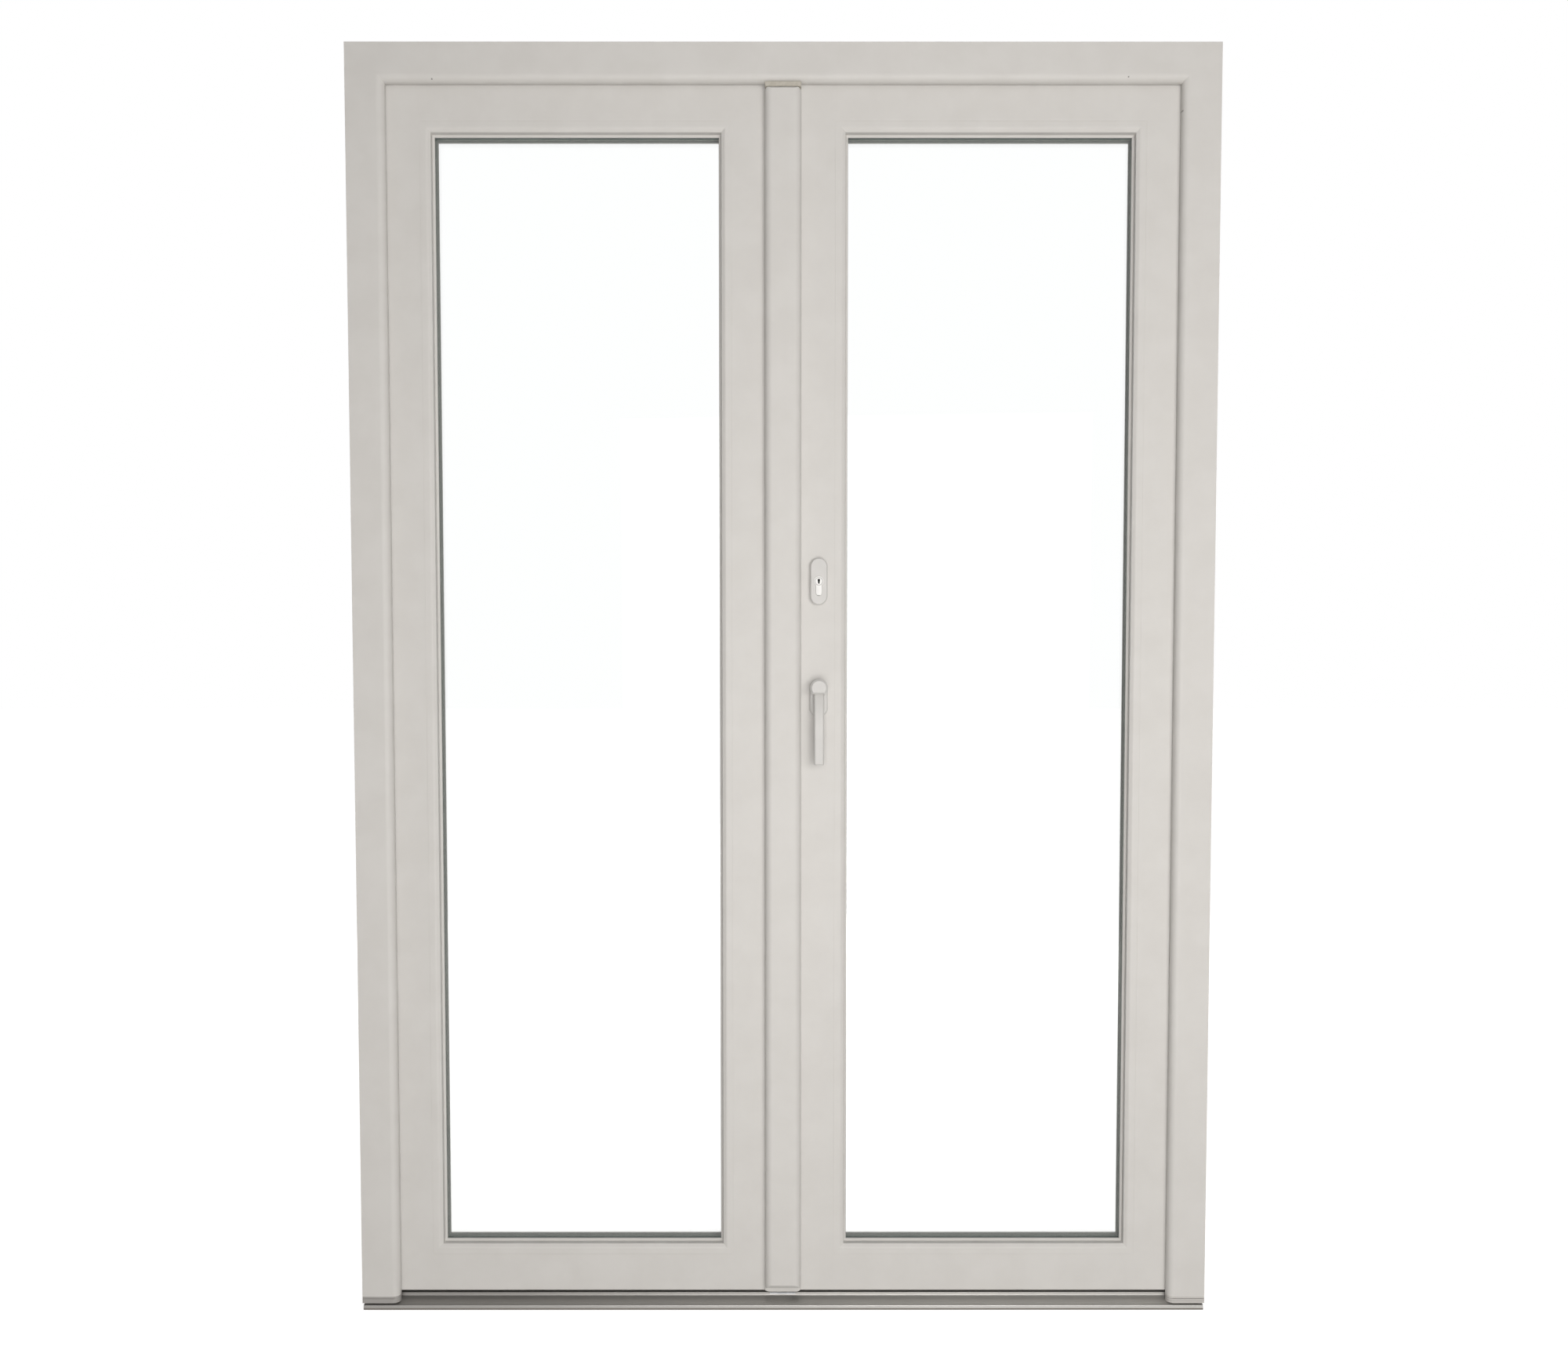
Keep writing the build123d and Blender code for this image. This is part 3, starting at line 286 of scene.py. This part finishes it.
BLACK = (0.01, 0.01, 0.01)
FINISHES = {
    "white_plastic": dict(
        low=(0.610, 0.592, 0.568), high=(0.630, 0.613, 0.590), roughness=0.5,
        grain=700.0, depth=SHALLOW, specular=SOFT_SPECULAR,
        tints=[(mark(x, z, depth), (0.22, 0.21, 0.20)) for x, z, depth in FRAME_MARKS]),
    "white_cap": dict(
        low=(0.600, 0.582, 0.558), high=(0.625, 0.608, 0.585), roughness=0.48,
        specular=SOFT_SPECULAR,
        # Painted light: the cap's lower bevel is made lighter, standing in for light bounced up
        # from the floor.
        tints=[(fade("Z", *CAP_BEVEL_PAINTED_LIGHT), (0.82, 0.80, 0.77))]),
    "grey_seal": dict(
        low=(0.16, 0.16, 0.155), high=(0.21, 0.21, 0.20), roughness=0.6,
        grain=RUBBER_GRAIN),
    "brush_seal": dict(
        low=(0.02, 0.02, 0.02), high=(0.05, 0.05, 0.05), roughness=0.9,
        scale=90.0, grain=2500.0, depth=0.0004, stretch=(1, 1, 0.1)),
    "beige_foam": dict(
        low=(0.45, 0.42, 0.36), high=(0.52, 0.49, 0.43), roughness=0.9,
        scale=120.0, grain=1400.0, depth=0.0005),
    "threshold_aluminium": dict(
        low=(0.26, 0.25, 0.238), high=(0.30, 0.29, 0.275), roughness=0.42, spread=0.08,
        scale=6.0, grain=600.0, metallic=0.75, stretch=(0.06, 1, 1),
        # Painted light: the threshold grows lighter towards the right, as if lit from the right.
        tints=[(fade("X", *THRESHOLD_PAINTED_SIDE_LIGHT), (0.43, 0.42, 0.40)),
               # Painted shadow: the bottom few millimetres of the threshold are darkened where
               # it meets the floor.
               (fade("Z", *THRESHOLD_PAINTED_CONTACT_SHADOW), (0.13, 0.115, 0.10))]),
    "galvanised_steel": dict(
        low=(0.42, 0.43, 0.44), high=(0.56, 0.57, 0.58), roughness=0.38, spread=0.1,
        scale=60.0, grain=300.0, metallic=1.0),
    "dark_spacer": dict(
        low=(0.075, 0.10, 0.093), high=(0.10, 0.128, 0.12), roughness=0.7,
        specular=0.1,
        tints=[(fade("Y", *SPACER_FADE), (0.17, 0.18, 0.16))]),
    "grey_cap": dict(
        low=(0.31, 0.295, 0.28), high=(0.36, 0.345, 0.33), roughness=0.5,
        # Painted light: the connector on the right is made lighter, as if lit from the right,
        # while the left one stays darker.
        tints=[(fade("X", *CONNECTOR_PAINTED_SIDE_LIGHT), (0.53, 0.51, 0.485)),
               (level_line(*CONNECTOR_UPPER_LINE), (0.27, 0.26, 0.25)),
               (level_line(*CONNECTOR_LOWER_LINE), (0.30, 0.29, 0.28))]),
    "white_coated_metal": dict(
        low=(0.570, 0.557, 0.540), high=(0.600, 0.587, 0.570), roughness=0.42,
        grain=1200.0, specular=SOFT_SPECULAR),
    "polished_metal": dict(
        low=(0.65, 0.64, 0.625), high=(0.72, 0.71, 0.695), roughness=0.55,
        scale=40.0, metallic=0.25,
        tints=[(key_ring, (0.40, 0.39, 0.38)),
               (fade("Z", *CYLINDER_FOOT_FADE), (0.36, 0.35, 0.34)),
               # The keyway is painted black: painted shade inside the keyway.
               (painted_keyhole_shade(*KEYHOLE_SLOT), BLACK),
               (painted_keyhole_shade(*KEYHOLE_HEAD), BLACK)]),
    "packer_plastic": dict(
        low=(0.05, 0.10, 0.26), high=(0.07, 0.13, 0.30), roughness=0.5),
}

MATERIALS = {name: speckled(name, **finish) for name, finish in FINISHES.items()}
MATERIALS["light_grey_seal"] = glass_seal_material()
MATERIALS["clear_glass"] = glass_material()

SLOT_OF = {part["node"]: part["material_slot"] for part in frame["record"]["subparts"]}
for name, piece in nodes.items():
    piece.data.materials.clear()
    piece.data.materials.append(MATERIALS[SLOT_OF[name]])


# Floor and surroundings

WHITE = (1.0, 1.0, 1.0, 1.0)
SKY_COLOUR = (1.0, 0.99, 0.975, 1.0)
SKY_STRENGTH = 0.19

FLOOR_COLOUR = (0.60, 0.595, 0.585, 1.0)
FLOOR_HALF_WIDTH = 40.0
FLOOR_HEIGHT = -0.0005
LIT_RADIUS = 1.2
UNLIT_RADIUS = 4.0
LIFT_NEAR = 0.76
LIFT_FAR = 0.93


def white_for_views(tree):
    """1 for rays from the camera, in reflections and through glass, 0 for light."""
    path = tree.nodes.new("ShaderNodeLightPath")
    seen = combine(tree, "MAXIMUM", path.outputs["Is Camera Ray"], path.outputs["Is Glossy Ray"])
    return combine(tree, "MAXIMUM", seen, path.outputs["Is Transmission Ray"])


def build_world():
    """Weak even light on the object, and plain white where the surroundings are seen."""
    world = bpy.data.worlds.new("studio")
    bpy.context.scene.world = world
    world.use_nodes = True
    tree = world.node_tree
    tree.nodes.clear()
    output = tree.nodes.new("ShaderNodeOutputWorld")
    soft = add(tree, "ShaderNodeBackground", Color=SKY_COLOUR, Strength=SKY_STRENGTH)
    white = add(tree, "ShaderNodeBackground", Color=WHITE, Strength=1.0)
    show_mix(tree, white_for_views(tree), soft, white, output)


def build_floor():
    """A pale floor that looks white and keeps the object's shadow.

    It glows for views only, and more with distance, where the lamps light it less."""
    mesh = bpy.data.meshes.new("floor")
    size = FLOOR_HALF_WIDTH
    corners = [(-size, -size, 0), (size, -size, 0), (size, size, 0), (-size, size, 0)]
    mesh.from_pydata([Vector(c) for c in corners], [], [(0, 1, 2, 3)])
    floor = bpy.data.objects.new("floor", mesh)
    bpy.context.scene.collection.objects.link(floor)
    floor.location.z = FLOOR_HEIGHT
    material = bpy.data.materials.new("pale_floor")
    material.use_nodes = True
    tree = material.node_tree
    tree.nodes.clear()
    output = tree.nodes.new("ShaderNodeOutputMaterial")
    total = tree.nodes.new("ShaderNodeAddShader")
    matte = add(tree, "ShaderNodeBsdfDiffuse", Color=FLOOR_COLOUR)
    lift = add(tree, "ShaderNodeEmission", Color=WHITE)
    away = tree.nodes.new("ShaderNodeVectorMath")
    away.operation = "LENGTH"
    tree.links.new(position(tree), away.inputs[0])
    glow = add(tree, "ShaderNodeMapRange", From_Min=LIT_RADIUS, From_Max=UNLIT_RADIUS,
               To_Min=LIFT_NEAR, To_Max=LIFT_FAR)
    tree.links.new(away.outputs["Value"], glow.inputs["Value"])
    gain = combine(tree, "MULTIPLY", white_for_views(tree), glow.outputs["Result"])
    tree.links.new(gain, lift.inputs["Strength"])
    tree.links.new(matte.outputs[0], total.inputs[0])
    tree.links.new(lift.outputs[0], total.inputs[1])
    tree.links.new(total.outputs[0], output.inputs["Surface"])
    floor.data.materials.append(material)


# Lamps: name, place, target, size, power in watts, whether reflections show the lamp

LAMP_COLOUR = (1.0, 0.985, 0.965)
MIDDLE = (0.0, 0.0, 1.1)
LAMPS = [
    ("right", (1.8, -3.6, 1.5), MIDDLE, (1.2, 1.2), 33.0, False),
    ("front", (0.3, -3.8, 1.2), MIDDLE, (2.0, 2.0), 61.0, True),
    ("low", (0.2, -3.0, 0.3), (0.0, 0.0, 1.3), (1.6, 0.5), 15.0, True),
    ("top", (0.3, -1.8, 3.6), (0.0, 0.0, 0.8), (1.6, 1.2), 4.5, True),
    ("behind", (-0.4, 4.2, 1.0), MIDDLE, (2.4, 1.6), 45.0, False),
    ("left_side", (-4.0, 0.3, 1.1), (0.0, 0.3, 1.1), (0.3, 1.6), 40.0, False),
    ("right_side", (4.0, 0.3, 1.1), (0.0, 0.3, 1.1), (0.3, 1.6), 40.0, False),
]


def add_light(name, location, target, size, power, mirrored):
    """A rectangular lamp that isn't seen through the glass."""
    data = bpy.data.lights.new(name, "AREA")
    data.shape = "RECTANGLE"
    data.size, data.size_y = size
    data.energy = power
    data.color = LAMP_COLOUR
    light = bpy.data.objects.new(name, data)
    bpy.context.scene.collection.objects.link(light)
    light.location = location
    light.visible_glossy = mirrored
    light.visible_transmission = False
    direction = Vector(target) - Vector(location)
    light.rotation_euler = direction.to_track_quat("-Z", "Y").to_euler()


# Camera, with the view of the photograph, which is 2000 pixels wide

PHOTO_WIDTH = 2000.0
FOCAL_LENGTH = 1898.86
SHIFT_UP = 82.1
SENSOR_WIDTH = 36.0
CAMERA_PLACE = (-0.0002, -2.5981, 1.1244)
CAMERA_TILT = 87.045
CAMERA_TURN = -0.028
FARTHEST = 200.0


def build_camera():
    """The focal length and the shift are given in pixels of the photograph."""
    data = bpy.data.cameras.new("camera")
    camera = bpy.data.objects.new("camera", data)
    bpy.context.scene.collection.objects.link(camera)
    data.sensor_fit = "HORIZONTAL"
    data.sensor_width = SENSOR_WIDTH
    data.lens = FOCAL_LENGTH / PHOTO_WIDTH * SENSOR_WIDTH
    data.shift_y = SHIFT_UP / PHOTO_WIDTH
    data.clip_end = FARTHEST
    camera.location = CAMERA_PLACE
    camera.rotation_euler = (math.radians(CAMERA_TILT), 0.0, math.radians(CAMERA_TURN))
    bpy.context.scene.camera = camera


build_world()
build_floor()
for lamp in LAMPS:
    add_light(*lamp)
build_camera()

bpy.context.scene.view_settings.view_transform = "Standard"
